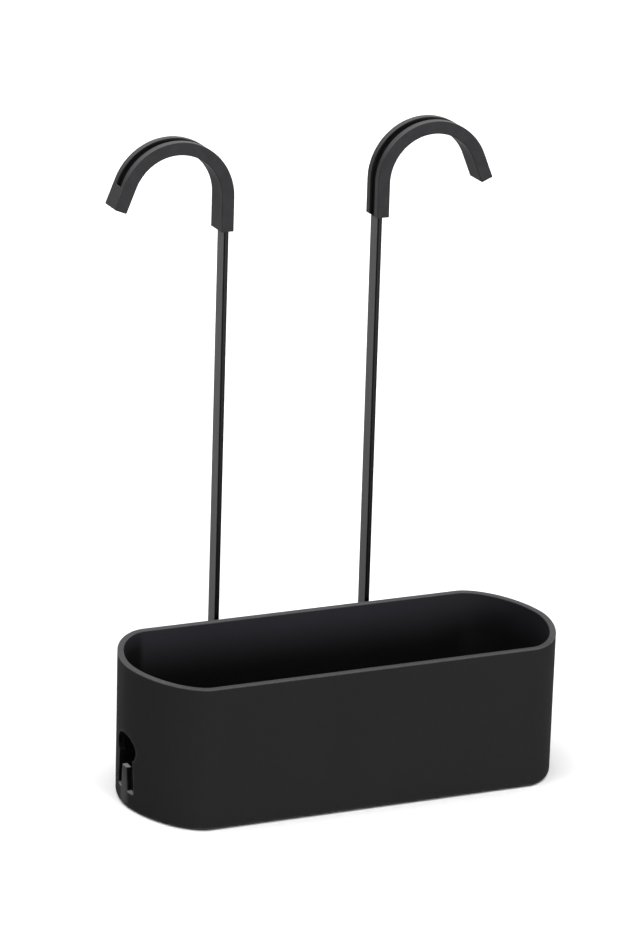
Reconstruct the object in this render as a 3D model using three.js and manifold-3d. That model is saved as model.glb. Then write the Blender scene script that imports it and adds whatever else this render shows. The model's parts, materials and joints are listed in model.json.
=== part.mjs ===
// Hair dryer holder: a moulded bin that hangs from two flat steel bars.
// Each bar ends in a sleeved hook and swivels in a cast bracket behind the bin.
// Millimetres, +Z up. The origin is on the underside of the bin, at its middle.
// +X runs along the bin towards the right hanger, and +Y points to the rear.

import * as THREE from 'three';
import { mergeVertices } from 'three/addons/utils/BufferGeometryUtils.js';
import Module from 'manifold-3d';

const wasm = await Module();
wasm.setup();

// Bin
const BIN_LENGTH = 300;
const BIN_DEPTH = 121;
const BIN_HEIGHT = 96.5;
const WALL = 4.2;
const FLOOR = 4.2;
const END_LENGTH = 36.4; // how far each rounded end reaches along X
const END_POWER = 1.76; // superellipse power of the rounded ends, a little under an ellipse
const BOTTOM_EDGE = 2; // rounding of the outer bottom edge
const INNER_EDGE = 4; // rounding where the walls meet the floor inside
const OUTLINE_STEPS = 12; // points on each quarter of the outline

// Cable opening, low in the middle of the left end
const CABLE_OVAL_HALF_WIDTH = 14.6;
const CABLE_OVAL_HALF_HEIGHT = 9.5;
const CABLE_OVAL_Z = 40.2;
const CABLE_SLOT_OUTER = 10.8; // half width over both slots, where they leave the oval
const CABLE_SLOT_FLARE = 1.8; // how much wider that half width is at the closed ends
const CABLE_SLOT_BOTTOM_Z = 11.2;
const TONGUE_TOP_Z = 27.5;
const TONGUE_HALF_WIDTH = 3.6;
const TONGUE_FLARE = 1.4; // how much wider the tongue's half width is at its root

// Hangers
const BAR_X = 54.6; // distance of each swivel axis from the middle of the bin
const SWIVEL_Y = 80;
const BAR_WIDTH = 12;
const BAR_THICKNESS = 3.5;
const BAR_EDGE = 0.9; // rounding of the bar's long edges
const BAR_BOTTOM_Z = 32;
const HOOK_SPRING_Z = 380.4; // height of the arch's centre
const HOOK_THROAT_RADIUS = 31;
const TIP_ANGLE = 22; // degrees by which the tip leans out from the vertical
const TIP_LENGTH = 17.8;
const SADDLE_ANGLE = 3; // half of the flat at the crown of the hook, in degrees

// Soft sleeve on the hook
const SLEEVE_THICKNESS = 8.6;
const SLEEVE_WIDTH = 18;
const SLEEVE_EDGE = 0.6;
const SLEEVE_BOTTOM_Z = 357.6;
const SLEEVE_LIP = 1.6; // wall over the bar, on the outside of the hook
const SLEEVE_END_WALL = 3.2; // closed end at the tip
const SLOT_WIDTH = 7.4;
const SLOT_TIP_LENGTH = 3; // how far the slot runs on into the straight tip

// Swivel bracket
const PLATE_WIDTH = 48;
const PLATE_BOTTOM_Z = 10;
const PLATE_TOP_Z = 74;
const PLATE_THICKNESS = 5;
const PLATE_CORNER = 6;
const EYE_RADIUS = 14;
const LOWER_EYE_Z = 16;
const UPPER_EYE_Z = 60;
const EYE_HEIGHT = 12;
const BOSS_RADIUS = 5;
const BOSS_HEIGHT = 4;
const STOP_WIDTH = 4;
const STOP_DEPTH = 2.4;
const STOP_HEIGHT = 3.4;

// Spindle that carries the bar
const SPINDLE_RADIUS = 9;
const SPINDLE_BOTTOM_Z = 15.4;
const COLLAR_Z = 73.8;
const COLLAR_HEIGHT = 4.2;
const COLLAR_RADIUS = 14;
const COLLAR_CUT_RADIUS = 11.2;
const SWIVEL_RANGE = 90;
const PIN_RADIUS = 2;
const PIN_Z = 44;

// Screws and washers
const SCREW_RADIUS = 2; // M4
const SCREW_LENGTH = 12;
const SCREW_HEAD_RADIUS = 4;
const SCREW_HEAD_HEIGHT = 2.3;
const SCREW_SPREAD_X = 17;
const SCREW_ROWS_Z = [19, 46];
const RETAINER_RADIUS = 3; // M6
const RETAINER_LENGTH = 12;
const RETAINER_HEAD_RADIUS = 5.5;
const RETAINER_HEAD_HEIGHT = 3.3;
const WASHER_RADIUS = 11;
const LOWER_WASHER_THICKNESS = 1.5;
const FRICTION_WASHER_THICKNESS = 1.2;

// Fits
const GAP = 0.3; // between pieces that touch
const CUT = 1; // how far a cutter runs past the face that it cuts
const FINE = 24; // segments on large round pieces
const COARSE = 12; // segments on small round pieces
const HOOK_STEPS = 6; // curve segments on each side of the hook's crown

const LEFT = { name: 'left', side: -1 };
const RIGHT = { name: 'right', side: 1 };

const BACK_FACE_Y = BIN_DEPTH / 2;
const PLATE_FRONT_Y = BACK_FACE_Y + GAP;
const PLATE_BACK_Y = PLATE_FRONT_Y + PLATE_THICKNESS;
const UPPER_EYE_TOP_Z = UPPER_EYE_Z + EYE_HEIGHT;

// Materials

function finish(color, roughness, metalness = 0) {
  return new THREE.MeshStandardMaterial({ color, roughness, metalness });
}

const binPlastic = finish(0x242424, 0.62);
const sleeveVinyl = finish(0x3a3938, 0.75);
const paintedSteel = finish(0x303030, 0.45, 0.3);
const castZinc = finish(0x2b2b2c, 0.55, 0.4);
const platedSteel = finish(0x9a9c9e, 0.35, 0.9);

// Solids

function toSolid(geometry) {
  const bare = geometry.index ? geometry.toNonIndexed() : geometry.clone();
  bare.deleteAttribute('normal');
  bare.deleteAttribute('uv');
  const merged = mergeVertices(bare, 1e-5);
  return new wasm.Manifold(new wasm.Mesh({
    numProp: 3,
    vertProperties: new Float32Array(merged.attributes.position.array),
    triVerts: new Uint32Array(merged.index.array),
  }));
}

function toGeometry(solid) {
  const mesh = solid.getMesh();
  const geometry = new THREE.BufferGeometry();
  geometry.setAttribute('position', new THREE.BufferAttribute(mesh.vertProperties, 3));
  geometry.setIndex(new THREE.BufferAttribute(mesh.triVerts, 1));
  geometry.computeVertexNormals();
  return geometry;
}

function cutAway(body, ...cutters) {
  return cutters.reduce((solid, cutter) => solid.subtract(toSolid(cutter)), body);
}

function block(width, depth, height, x, y, z) {
  return new THREE.BoxGeometry(width, depth, height).translate(x, y, z);
}

// A cylinder that stands on z = bottom.
function upright(radius, bottom, height, segments = FINE) {
  return new THREE.CylinderGeometry(radius, radius, height, segments)
    .rotateX(Math.PI / 2)
    .translate(0, 0, bottom + height / 2);
}

// A lathe turned so that its profile's second number is the height.
function turnUpright(profile, segments) {
  const points = profile.map(([radius, height]) => new THREE.Vector2(radius, height));
  return new THREE.LatheGeometry(points, segments).rotateX(Math.PI / 2);
}

// A side view drawn in X and Z, given a width along Y and centred on y = 0.
function sideExtrusion(shape, width, edge = 0) {
  const geometry = new THREE.ExtrudeGeometry(shape, {
    depth: width - 2 * edge,
    curveSegments: HOOK_STEPS,
    bevelEnabled: edge > 0,
    bevelThickness: edge,
    bevelSize: edge,
    bevelOffset: -edge,
    bevelSegments: 2,
  });
  return geometry.translate(0, 0, edge - width / 2).rotateX(Math.PI / 2);
}

// Bin

// Outline of the bin, drawn inward by inset: straight sides and superellipse ends.
function binOutline(inset) {
  const endLength = END_LENGTH - inset;
  const endWidth = BIN_DEPTH / 2 - inset;
  const straight = BIN_LENGTH / 2 - END_LENGTH;
  const points = [];
  for (const side of [1, -1]) {
    for (let step = -OUTLINE_STEPS; step <= OUTLINE_STEPS; step += 1) {
      const angle = (step / OUTLINE_STEPS) * (Math.PI / 2);
      const along = Math.cos(angle) ** (2 / END_POWER);
      const across = Math.sign(step) * Math.abs(Math.sin(angle)) ** (2 / END_POWER);
      points.push(new THREE.Vector2(side * (straight + endLength * along), side * endWidth * across));
    }
  }
  return new THREE.Shape(points);
}

// A prism of the bin's outline with rounded ends, from z = bottom upwards.
function binPrism(inset, edge, bottom, height) {
  return new THREE.ExtrudeGeometry(binOutline(inset + edge), {
    depth: height - 2 * edge,
    bevelThickness: edge,
    bevelSize: edge,
    bevelSegments: 3,
  }).translate(0, 0, bottom + edge);
}

// Cable opening: an oval over two slots, with a tongue left standing between them.
function cableOpening() {
  const shape = new THREE.Shape();
  const turn = Math.acos(CABLE_SLOT_OUTER / CABLE_OVAL_HALF_WIDTH);
  const bottomOuter = CABLE_SLOT_OUTER + CABLE_SLOT_FLARE;
  const bottomInner = TONGUE_HALF_WIDTH + TONGUE_FLARE;
  shape.absellipse(
    0,
    CABLE_OVAL_Z,
    CABLE_OVAL_HALF_WIDTH,
    CABLE_OVAL_HALF_HEIGHT,
    -turn,
    Math.PI + turn,
    false,
    0,
  );
  shape.lineTo(-bottomOuter, CABLE_SLOT_BOTTOM_Z);
  shape.lineTo(-bottomInner, CABLE_SLOT_BOTTOM_Z);
  shape.lineTo(-TONGUE_HALF_WIDTH, TONGUE_TOP_Z);
  shape.lineTo(TONGUE_HALF_WIDTH, TONGUE_TOP_Z);
  shape.lineTo(bottomInner, CABLE_SLOT_BOTTOM_Z);
  shape.lineTo(bottomOuter, CABLE_SLOT_BOTTOM_Z);
  const length = END_LENGTH;
  return new THREE.ExtrudeGeometry(shape, { depth: length, bevelEnabled: false, curveSegments: 12 })
    .rotateX(Math.PI / 2)
    .rotateZ(Math.PI / 2)
    .translate(-BIN_LENGTH / 2 - CUT, 0, 0);
}

// The four holes behind each bracket for its screws.
function wallScrewHoles() {
  const reach = 3 * WALL;
  return [LEFT, RIGHT].flatMap(({ side }) => screwPlaces(side).map(([x, z]) => (
    new THREE.CylinderGeometry(SCREW_RADIUS + GAP, SCREW_RADIUS + GAP, reach, COARSE)
      .translate(x, BACK_FACE_Y - WALL / 2, z)
  )));
}

function screwPlaces(side) {
  return [-1, 1].flatMap((end) => SCREW_ROWS_Z.map((z) => (
    [side * BAR_X + end * SCREW_SPREAD_X, z]
  )));
}

function makeBin() {
  const extra = 2 * INNER_EDGE;
  const outside = toSolid(binPrism(0, BOTTOM_EDGE, 0, BIN_HEIGHT + extra));
  const cavity = binPrism(WALL, INNER_EDGE, FLOOR, BIN_HEIGHT + 2 * extra);
  const above = block(2 * BIN_LENGTH, 2 * BIN_DEPTH, 2 * extra, 0, 0, BIN_HEIGHT + extra);
  return cutAway(outside, cavity, above, cableOpening(), ...wallScrewHoles());
}

// Hook and bar

// Side view of a strip that follows the hook. inner and outer are its faces' distances from
// the bar's middle, towards the throat and away from it. The strip starts at z = bottom,
// bends over the throat and ends after tip along the straight tip. Its crown is a short flat.
function hookStrip(side, inner, outer, bottom, tip) {
  const middleRadius = HOOK_THROAT_RADIUS + SLEEVE_THICKNESS - SLEEVE_LIP - GAP - BAR_THICKNESS / 2;
  const lean = THREE.MathUtils.degToRad(TIP_ANGLE);
  const saddle = THREE.MathUtils.degToRad(SADDLE_ANGLE);
  const centre = side * middleRadius;
  const smallRadius = middleRadius - inner;
  const largeRadius = middleRadius + outer;
  const start = side > 0 ? Math.PI : 0;
  const end = side > 0 ? lean : Math.PI - lean;
  const crown = Math.PI / 2;
  const backwards = side > 0;
  const shape = new THREE.Shape();
  const tipPoint = (radius) => [
    centre + side * (radius * Math.cos(lean) + tip * Math.sin(lean)),
    HOOK_SPRING_Z + radius * Math.sin(lean) - tip * Math.cos(lean),
  ];
  shape.moveTo(side * inner, bottom);
  shape.lineTo(side * inner, HOOK_SPRING_Z);
  shape.absarc(centre, HOOK_SPRING_Z, smallRadius, start, crown + side * saddle, backwards);
  shape.absarc(centre, HOOK_SPRING_Z, smallRadius, crown - side * saddle, end, backwards);
  shape.lineTo(...tipPoint(smallRadius));
  shape.lineTo(...tipPoint(largeRadius));
  shape.absarc(centre, HOOK_SPRING_Z, largeRadius, end, crown - side * saddle, !backwards);
  shape.absarc(centre, HOOK_SPRING_Z, largeRadius, crown + side * saddle, start, !backwards);
  shape.lineTo(-side * outer, bottom);
  return shape;
}

function makeBar(side) {
  const half = BAR_THICKNESS / 2;
  const tip = TIP_LENGTH - SLEEVE_END_WALL - GAP;
  const bar = toSolid(sideExtrusion(hookStrip(side, half, half, BAR_BOTTOM_Z, tip), BAR_WIDTH, BAR_EDGE));
  const pinHole = new THREE.CylinderGeometry(PIN_RADIUS + GAP, PIN_RADIUS + GAP, 2 * BAR_WIDTH, COARSE)
    .rotateZ(Math.PI / 2)
    .translate(0, 0, PIN_Z);
  return cutAway(bar, pinHole);
}

function makeSleeve(side) {
  const outer = BAR_THICKNESS / 2 + GAP + SLEEVE_LIP;
  const inner = SLEEVE_THICKNESS - outer;
  const channel = BAR_THICKNESS / 2 + GAP;
  const below = SLEEVE_BOTTOM_Z - CUT;
  const skin = hookStrip(side, inner, outer, SLEEVE_BOTTOM_Z, TIP_LENGTH);
  const bore = hookStrip(side, channel, channel, below, TIP_LENGTH - SLEEVE_END_WALL);
  const slot = hookStrip(side, 0, outer + CUT, below, SLOT_TIP_LENGTH);
  return cutAway(
    toSolid(sideExtrusion(skin, SLEEVE_WIDTH, SLEEVE_EDGE)),
    sideExtrusion(bore, BAR_WIDTH + 2 * GAP),
    sideExtrusion(slot, SLOT_WIDTH),
  );
}

// Spindle and its fasteners

// The collar's cut-out. It lets the stop on the bracket pass through the swivel's range.
function collarCutout(side) {
  const play = THREE.MathUtils.degToRad(1);
  const stopAngle = Math.asin(STOP_WIDTH / 2 / COLLAR_CUT_RADIUS) + play;
  const rear = Math.PI / 2;
  const sweep = -side * THREE.MathUtils.degToRad(SWIVEL_RANGE);
  const from = Math.min(rear, rear + sweep) - stopAngle;
  const to = Math.max(rear, rear + sweep) + stopAngle;
  const shape = new THREE.Shape();
  shape.absarc(0, 0, COLLAR_RADIUS + CUT, from, to, false);
  shape.absarc(0, 0, COLLAR_CUT_RADIUS, to, from, true);
  return new THREE.ExtrudeGeometry(shape, { depth: COLLAR_HEIGHT + 2 * CUT, bevelEnabled: false })
    .translate(0, 0, COLLAR_Z - CUT);
}

function makeSpindle(side) {
  const top = COLLAR_Z + COLLAR_HEIGHT;
  const chamfer = 0.8;
  const turned = turnUpright([
    [0, SPINDLE_BOTTOM_Z],
    [SPINDLE_RADIUS - chamfer, SPINDLE_BOTTOM_Z],
    [SPINDLE_RADIUS, SPINDLE_BOTTOM_Z + chamfer],
    [SPINDLE_RADIUS, COLLAR_Z],
    [COLLAR_RADIUS, COLLAR_Z],
    [COLLAR_RADIUS, top - chamfer],
    [COLLAR_RADIUS - chamfer, top],
    [0, top],
  ], FINE);
  const pocketBottom = BAR_BOTTOM_Z - GAP;
  const pocketHeight = top + CUT - pocketBottom;
  const pocket = block(
    BAR_THICKNESS + 2 * GAP,
    BAR_WIDTH + 2 * GAP,
    pocketHeight,
    0,
    0,
    pocketBottom + pocketHeight / 2,
  );
  const pinHole = new THREE.CylinderGeometry(PIN_RADIUS + GAP, PIN_RADIUS + GAP, 3 * SPINDLE_RADIUS, COARSE)
    .rotateZ(Math.PI / 2)
    .translate(0, 0, PIN_Z);
  const tapping = upright(RETAINER_RADIUS + GAP, SPINDLE_BOTTOM_Z - CUT, RETAINER_LENGTH + CUT, COARSE);
  return cutAway(toSolid(turned), collarCutout(side), pocket, pinHole, tapping);
}

function makeCrossPin() {
  const half = SPINDLE_RADIUS - GAP;
  const chamfer = 0.5;
  const points = [
    [0, -half],
    [PIN_RADIUS - chamfer, -half],
    [PIN_RADIUS, -half + chamfer],
    [PIN_RADIUS, half - chamfer],
    [PIN_RADIUS - chamfer, half],
    [0, half],
  ].map(([radius, along]) => new THREE.Vector2(radius, along));
  return toSolid(new THREE.LatheGeometry(points, COARSE).rotateZ(Math.PI / 2).translate(0, 0, PIN_Z));
}

function makeRing(innerRadius, outerRadius, bottom, thickness) {
  const outside = toSolid(upright(outerRadius, bottom, thickness));
  return cutAway(outside, upright(innerRadius, bottom - CUT, thickness + 2 * CUT));
}

// A button head screw along +Y, with its head's underside at y = 0 and a hexagon socket.
function makeScrew(radius, length, headRadius, headHeight) {
  const chamfer = 0.25 * radius;
  const socketRadius = 0.72 * radius;
  const profile = [
    [0, -headHeight],
    [0.55 * headRadius, -headHeight],
    [0.88 * headRadius, -0.6 * headHeight],
    [headRadius, 0],
    [radius, 0],
    [radius, length - chamfer],
    [radius - chamfer, length],
    [0, length],
  ].map(([across, along]) => new THREE.Vector2(across, along));
  const socketDepth = 0.6 * headHeight;
  const socket = new THREE.CylinderGeometry(socketRadius, socketRadius, 2 * socketDepth, 6)
    .translate(0, -headHeight, 0);
  return cutAway(toSolid(new THREE.LatheGeometry(profile, COARSE)), socket);
}

// Bracket

// One eye: a lug with a round end, bored for the spindle.
function eye(bottom) {
  const reach = PLATE_BACK_Y - SWIVEL_Y - PLATE_THICKNESS / 2;
  const shape = new THREE.Shape();
  shape.moveTo(EYE_RADIUS, reach);
  shape.absarc(0, 0, EYE_RADIUS, 0, Math.PI, false);
  shape.lineTo(-EYE_RADIUS, reach);
  return new THREE.ExtrudeGeometry(shape, { depth: EYE_HEIGHT, bevelEnabled: false, curveSegments: 16 })
    .translate(0, 0, bottom);
}

function plate() {
  const halfWidth = PLATE_WIDTH / 2;
  const shape = new THREE.Shape();
  const corners = [
    [halfWidth, PLATE_TOP_Z, 0],
    [-halfWidth, PLATE_TOP_Z, 1],
    [-halfWidth, PLATE_BOTTOM_Z, 2],
    [halfWidth, PLATE_BOTTOM_Z, 3],
  ];
  for (const [x, z, quarter] of corners) {
    const centreX = x - Math.sign(x) * PLATE_CORNER;
    const centreZ = z + (quarter < 2 ? -PLATE_CORNER : PLATE_CORNER);
    const start = quarter * (Math.PI / 2);
    shape.absarc(centreX, centreZ, PLATE_CORNER, start, start + Math.PI / 2, false);
  }
  return new THREE.ExtrudeGeometry(shape, { depth: PLATE_THICKNESS, bevelEnabled: false, curveSegments: 4 })
    .rotateX(Math.PI / 2)
    .translate(0, PLATE_BACK_Y - SWIVEL_Y, 0);
}

// The tapped bosses stand on the back of the plate, one for each screw.
function bracketBosses(radius, length) {
  return [-1, 1].flatMap((end) => SCREW_ROWS_Z.map((z) => (
    new THREE.CylinderGeometry(radius, radius, length, COARSE)
      .translate(end * SCREW_SPREAD_X, PLATE_BACK_Y - SWIVEL_Y + BOSS_HEIGHT - length / 2, z)
  )));
}

function makeBracket() {
  const bossLength = BOSS_HEIGHT + PLATE_THICKNESS / 2;
  const holeLength = BOSS_HEIGHT + PLATE_THICKNESS + 2 * CUT;
  const stop = block(
    STOP_WIDTH,
    STOP_DEPTH,
    STOP_HEIGHT + CUT,
    0,
    EYE_RADIUS - STOP_DEPTH / 2,
    UPPER_EYE_TOP_Z + (STOP_HEIGHT - CUT) / 2,
  );
  const parts = [eye(LOWER_EYE_Z), eye(UPPER_EYE_Z), stop, ...bracketBosses(BOSS_RADIUS, bossLength)];
  const body = parts.reduce((solid, part) => solid.add(toSolid(part)), toSolid(plate()));
  const bore = upright(SPINDLE_RADIUS + GAP, PLATE_BOTTOM_Z, PLATE_TOP_Z - PLATE_BOTTOM_Z);
  const holes = bracketBosses(SCREW_RADIUS + GAP, holeLength).map((hole) => hole.translate(0, CUT, 0));
  return cutAway(body, bore, ...holes);
}

// Assembly

function node(name, solid, material, position = [0, 0, 0]) {
  const mesh = new THREE.Mesh(toGeometry(solid), material);
  mesh.name = name;
  mesh.position.set(...position);
  return mesh;
}

function bracketGroup({ name, side }) {
  const group = new THREE.Group();
  group.position.set(side * BAR_X, SWIVEL_Y, 0);
  group.add(node(`bracket_${name}`, makeBracket(), castZinc));
  const washer = makeRing(
    SPINDLE_RADIUS + GAP,
    WASHER_RADIUS,
    UPPER_EYE_TOP_Z + GAP,
    FRICTION_WASHER_THICKNESS,
  );
  group.add(node(`friction_washer_${name}`, washer, platedSteel));
  return group;
}

function bracketScrews({ name, side }) {
  const screw = makeScrew(SCREW_RADIUS, SCREW_LENGTH, SCREW_HEAD_RADIUS, SCREW_HEAD_HEIGHT);
  const headY = BACK_FACE_Y - WALL - GAP;
  return screwPlaces(side).map(([x, z], index) => (
    node(`bracket_screw_${name}_${index + 1}`, screw, platedSteel, [x, headY, z])
  ));
}

function hangerGroup({ name, side }) {
  const group = new THREE.Group();
  group.position.set(side * BAR_X, SWIVEL_Y, 0);
  const washerBottom = SPINDLE_BOTTOM_Z - GAP - LOWER_WASHER_THICKNESS;
  const washer = makeRing(RETAINER_RADIUS + GAP, WASHER_RADIUS, washerBottom, LOWER_WASHER_THICKNESS);
  const retainer = makeScrew(RETAINER_RADIUS, RETAINER_LENGTH, RETAINER_HEAD_RADIUS, RETAINER_HEAD_HEIGHT);
  const retainerScrew = node(`retaining_screw_${name}`, retainer, platedSteel, [0, 0, washerBottom - GAP]);
  retainerScrew.rotation.x = Math.PI / 2;
  group.add(
    node(`hanger_bar_${name}`, makeBar(side), paintedSteel),
    node(`hook_sleeve_${name}`, makeSleeve(side), sleeveVinyl),
    node(`spindle_${name}`, makeSpindle(side), castZinc),
    node(`cross_pin_${name}`, makeCrossPin(), platedSteel),
    node(`lower_washer_${name}`, washer, platedSteel),
    retainerScrew,
  );
  return group;
}

const holder = new THREE.Group();
holder.add(node('bin_shell', makeBin(), binPlastic));
for (const hand of [LEFT, RIGHT]) {
  holder.add(bracketGroup(hand), ...bracketScrews(hand), hangerGroup(hand));
}

export default holder;
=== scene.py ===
import json
import math

import bmesh
import bpy
from mathutils import Matrix, Vector
from mathutils.geometry import delaunay_2d_cdt


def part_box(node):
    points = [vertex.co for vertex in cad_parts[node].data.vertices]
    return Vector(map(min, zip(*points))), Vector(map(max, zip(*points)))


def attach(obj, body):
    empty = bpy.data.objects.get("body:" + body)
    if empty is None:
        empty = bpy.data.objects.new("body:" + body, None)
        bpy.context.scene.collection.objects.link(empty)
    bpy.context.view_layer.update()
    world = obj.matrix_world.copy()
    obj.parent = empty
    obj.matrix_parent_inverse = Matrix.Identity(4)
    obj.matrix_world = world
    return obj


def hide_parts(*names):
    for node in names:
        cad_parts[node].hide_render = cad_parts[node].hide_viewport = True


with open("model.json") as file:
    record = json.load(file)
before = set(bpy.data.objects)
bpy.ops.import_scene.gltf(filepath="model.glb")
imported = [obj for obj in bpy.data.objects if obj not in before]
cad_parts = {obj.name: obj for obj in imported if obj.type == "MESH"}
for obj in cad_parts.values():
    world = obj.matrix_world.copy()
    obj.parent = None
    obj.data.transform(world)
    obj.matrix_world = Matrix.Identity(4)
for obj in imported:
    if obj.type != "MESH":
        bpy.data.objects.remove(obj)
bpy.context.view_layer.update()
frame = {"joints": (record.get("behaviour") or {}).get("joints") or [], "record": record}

# Looks of the hair dryer holder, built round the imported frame. Metres, +Z up, +Y to the rear.
# Every visible piece is a fine mesh that stands for its CAD node and rides on that node's body.

MM = 0.001

# Bin
WALL = 4.2 * MM
FLOOR = 4.2 * MM
END_LENGTH = 36.4 * MM  # how far each rounded end reaches along X
END_POWER = 1.76  # superellipse power of the rounded ends
DRAFT = 0.5 * MM  # how far the foot of the wall is set in from its rim
BOTTOM_EDGE = 2 * MM
INNER_EDGE = 4 * MM
RIM_EDGE = 0.7 * MM
OUTLINE_STEPS = 48  # points on each quarter of the outline
FOOT_ROW_Z = 6 * MM
UPPER_ROWS_Z = (70 * MM, 84 * MM)  # rows of points above the patch that holds the cable opening
RIM_ROW = 0.4 * MM  # from the rim's rounding down to the nearest row

# Cable opening, low in the left end
OVAL_HALF_WIDTH = 14.6 * MM
OVAL_HALF_HEIGHT = 9.5 * MM
OVAL_Z = 40.2 * MM
CABLE_SLOT_OUTER = 10.8 * MM
CABLE_SLOT_FLARE = 1.8 * MM
CABLE_SLOT_BOTTOM_Z = 11.2 * MM
CABLE_SLOT_CORNER = 1.2 * MM
NECK_CORNER = 0.7 * MM  # where the oval meets a slot
TONGUE_TOP_Z = 27.5 * MM
TONGUE_HALF = 3.6 * MM
TONGUE_FLARE = 1.4 * MM
TONGUE_CORNER = 0.8 * MM
CONTOUR_STEP = 1.5 * MM
CUT_EDGE = 0.7 * MM
PATCH_HALF = 24 * MM  # half width of the wall patch that holds the opening
PATCH_ROWS_Z = [(9 + 3 * k) * MM for k in range(17)]
PATCH_CLEARANCE = 0.9 * MM  # from the opening's edge to the nearest point inside the patch

# Hangers
BAR_WIDTH = 12 * MM
BAR_THICKNESS = 3.5 * MM
BAR_EDGE = 1.15 * MM
BAR_ROWS_Z = (80 * MM, 200 * MM)
# past MOUTH_DEPTH the bar inside the sleeve takes the painted shade material
MOUTH_DEPTH = 0.6 * MM  # how far the bar's own paint shows into the sleeve's mouth
SPRING_Z = 380.4 * MM  # height of the hook's centre
THROAT_RADIUS = 31 * MM
TIP_ANGLE = math.radians(22)
TIP_LENGTH = 17.8 * MM
HOOK_STEPS = 72
SLEEVE_THICKNESS = 8.6 * MM
SLEEVE_LIP = 1.6 * MM
SLEEVE_EDGE = 0.5 * MM
SLEEVE_TIP_EDGE = 1 * MM
SLEEVE_END_WALL = 3.2 * MM
SLEEVE_HALF_WIDTH = 9 * MM
SLOT_WIDTH = 7.4 * MM
SLOT_EDGE = 0.3 * MM
SLOT_CORNER = 0.9 * MM
SLOT_TIP_LENGTH = 3 * MM  # how far the slot runs on into the straight tip
END_EDGE = 0.4 * MM  # rounding of the bar's ends and of the sleeve's mouth
FIT = 0.3 * MM  # clearance between pieces that fit into each other

# Swivel bracket
PLATE_WIDTH = 48 * MM
PLATE_BOTTOM_Z = 10 * MM
PLATE_TOP_Z = 74 * MM
PLATE_THICKNESS = 5 * MM
PLATE_CORNER = 6 * MM
EYE_RADIUS = 14 * MM
LOWER_EYE_Z = 16 * MM
UPPER_EYE_Z = 60 * MM
EYE_HEIGHT = 12 * MM
BOSS_RADIUS = 5 * MM
BOSS_HEIGHT = 4 * MM
STOP_WIDTH = 4 * MM
STOP_DEPTH = 2.4 * MM
CAST_EDGE = 0.9 * MM
BOSS_EDGE = 0.7 * MM
STOP_CORNER = 0.5 * MM
STOP_EDGE = 0.4 * MM
BORE_FLARE = 0.6 * MM
HOLE_FLARE = 0.5 * MM

# Spindle and fasteners
SPINDLE_RADIUS = 9 * MM
COLLAR_Z = 73.8 * MM
COLLAR_RADIUS = 14 * MM
COLLAR_CUT_RADIUS = 11.2 * MM
COLLAR_TOP_EDGE = 0.8 * MM
COLLAR_LOWER_EDGE = 0.3 * MM
SPINDLE_CHAMFER = 0.8 * MM
POCKET_CORNER = 0.4 * MM
STOP_PLAY = 1  # degrees between the stop and each end of the collar's cut-out
PIN_RADIUS = 2 * MM
PIN_EDGE = 0.5 * MM
WASHER_EDGE = 0.3 * MM
SCREW_RADIUS = 2 * MM  # M4
SCREW_LENGTH = 12 * MM
SCREW_HEAD_RADIUS = 4 * MM
SCREW_HEAD_HEIGHT = 2.3 * MM
SCREW_PITCH = 0.7 * MM
SCREW_SPREAD_X = 17 * MM
SCREW_ROWS_Z = (19 * MM, 46 * MM)
RETAINER_RADIUS = 3 * MM  # M6
RETAINER_LENGTH = 12 * MM
RETAINER_HEAD_RADIUS = 5.5 * MM
RETAINER_HEAD_HEIGHT = 3.3 * MM
RETAINER_PITCH = 1 * MM
THREAD_DEPTH = 0.13  # share of the screw's radius
PAST = 1 * MM  # how far a cutter runs past the face that it cuts
SHARP = 0.01 * MM  # rounding of a slab that cuts
SLACK = 1e-9  # for comparing heights
MERGE = 1e-7  # points closer than this become one
HALVINGS = 40

# Points round a full turn
LARGE_ROUND = 96
SMALL_ROUND = 48
HOLE_ROUND = 32
SCREW_ROUND = 36

# Colours
BIN_DARK = (0.0084, 0.0084, 0.0087)
BIN_LIGHT = (0.0098, 0.0098, 0.0101)
BIN_SPECK = (0.015,) * 3
# painted light high on the bin's inner walls
BIN_INNER_LIGHT = (0.0162, 0.0158, 0.0196)
# painted shade low inside the bin and on the inside of its rounded ends
BIN_INNER_SHADE = (0.0035, 0.0035, 0.0036)
# painted highlight on the top of the rim
BIN_RIM_HIGHLIGHT = (0.060, 0.060, 0.062)
# painted reflection: the rim lighter on its back and ends than at the front
BIN_RIM_REFLECTION = (0.080, 0.080, 0.083)
BIN_WORN = (0.045,) * 3
# painted light on the lower left end round the cable opening
BIN_OPENING_LIGHT = (0.055,) * 3
# painted highlight on the up-facing ledges at the foot of the cable slots
BIN_LEDGE_HIGHLIGHT = (0.20,) * 3
VINYL_DARK = (0.0160, 0.0160, 0.0175)
VINYL_LIGHT = (0.0220, 0.0220, 0.0232)
VINYL_SPECK = (0.034, 0.034, 0.0348)
# painted light on the sleeve's up-facing faces
VINYL_TOP_LIGHT = (0.085, 0.085, 0.086)
# painted shade on the sleeve's down-facing faces
VINYL_UNDER_SHADE = (0.004,) * 3
# painted shade on sleeve edges that face sideways, painted highlight on those that face up
VINYL_EDGE_SHADE = (0.007,) * 3
VINYL_EDGE_HIGHLIGHT = (0.10,) * 3
BAR_DARK = (0.026, 0.026, 0.027)
BAR_LIGHT = (0.038, 0.038, 0.039)
BAR_LINE = (0.050,) * 3
BAR_WORN = (0.15, 0.15, 0.148)
# painted shade on the bar's rounded corners and on its narrow faces, lighter higher up
BAR_CORNER_SHADE = (0.001,) * 3
BAR_NARROW_SHADE = (0.012,) * 3
CAST_DARK = (0.015, 0.015, 0.016)
CAST_LIGHT = (0.023, 0.023, 0.024)
CAST_WORN = (0.095, 0.095, 0.098)
PLATED_DULL = (0.40, 0.41, 0.42)
PLATED_BRIGHT = (0.55, 0.56, 0.57)
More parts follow.
